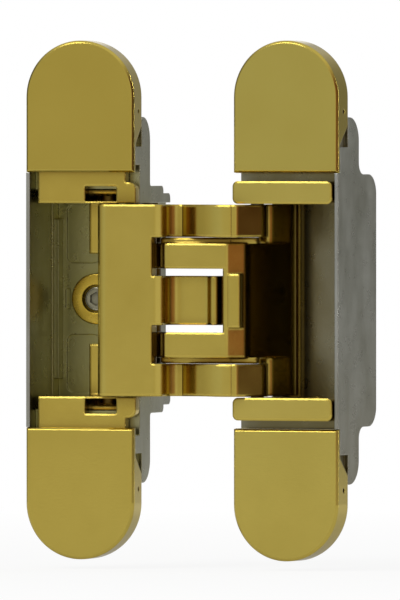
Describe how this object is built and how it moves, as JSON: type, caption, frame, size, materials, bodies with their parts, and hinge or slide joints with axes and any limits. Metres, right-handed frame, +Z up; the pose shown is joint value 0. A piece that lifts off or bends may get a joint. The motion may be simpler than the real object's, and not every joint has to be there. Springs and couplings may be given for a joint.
{
  "type": "concealed door hinge",
  "caption": "Concealed door hinge: rounded mortise leaves with gold covers, joined by crossing arms that fold into the leaves' pockets.",
  "frame": {"origin": "centre of the frame leaf's face, midway between its ends", "axes": "+X across the face towards the door leaf, +Y into the frame leaf's mortise, +Z up along the leaf"},
  "size_m": [0.0725, 0.0296, 0.11],
  "materials": {
    "raw_zinc": "raw casting",
    "gold_plate": "polished plating",
    "gold_cover": "satin plating",
    "steel_pin": "ground",
    "brass_washer": "plain",
    "steel_screw": "zinc plated",
    "roller": "turned"
  },
  "bodies": {
    "frame_leaf": {"frame_body": "raw_zinc", "frame_cover_top": "gold_cover", "frame_cover_bottom": "gold_cover", "clamp_screw": "steel_screw", "clamp_washer": "brass_washer"},
    "frame_slide": {"frame_carriage": "gold_plate", "frame_pivot_pin": "steel_pin"},
    "arm_a": {"frame_arm": "gold_plate", "cross_pin": "steel_pin", "inner_cross_washers": "roller", "outer_cross_washers": "roller", "door_slide_pins": "steel_pin", "door_slide_rollers": "roller"},
    "arm_b": {"door_arm": "gold_plate", "frame_slide_pins": "steel_pin", "frame_slide_rollers": "roller", "frame_slide_spacers": "gold_plate"},
    "door_slide": {"door_carriage": "gold_plate", "door_pivot_pin": "steel_pin"},
    "door_leaf": {"door_body": "raw_zinc", "door_cover_top": "gold_cover", "door_cover_bottom": "gold_cover", "door_height_screws": "steel_screw"}
  },
  "joints": [
    {"name": "side_adjust", "type": "slide", "parent": "frame_leaf", "child": "frame_slide", "axis": [1, 0, 0], "range_m": [-0.0009, 0.0009]},
    {"name": "fold", "type": "hinge", "parent": "frame_slide", "child": "arm_a", "pos_m": [0.0075, 0.015, 0], "axis": [0, 0, 1], "range_deg": [-83.39, 2.88]},
    {"name": "cross_pivot", "type": "hinge", "parent": "arm_a", "child": "arm_b", "pos_m": [0.01439, 0.00264, 0], "axis": [0, 0, 1], "range_deg": [-4.76, 0.21]},
    {"name": "door_pivot", "type": "hinge", "parent": "arm_b", "child": "door_slide", "pos_m": [0.04049, 0.01327, 0], "axis": [0, 0, 1], "range_deg": [-85.94, 3.01]},
    {"name": "height_adjust", "type": "slide", "parent": "door_slide", "child": "door_leaf", "axis": [0, 0, 1], "range_m": [-0.0015, 0.0015]}
  ],
  "couplings": [
    {"joint": "cross_pivot", "follows": "fold", "ratio": 0.056539},
    {"joint": "door_pivot", "follows": "fold", "ratio": 1.0299}
  ]
}
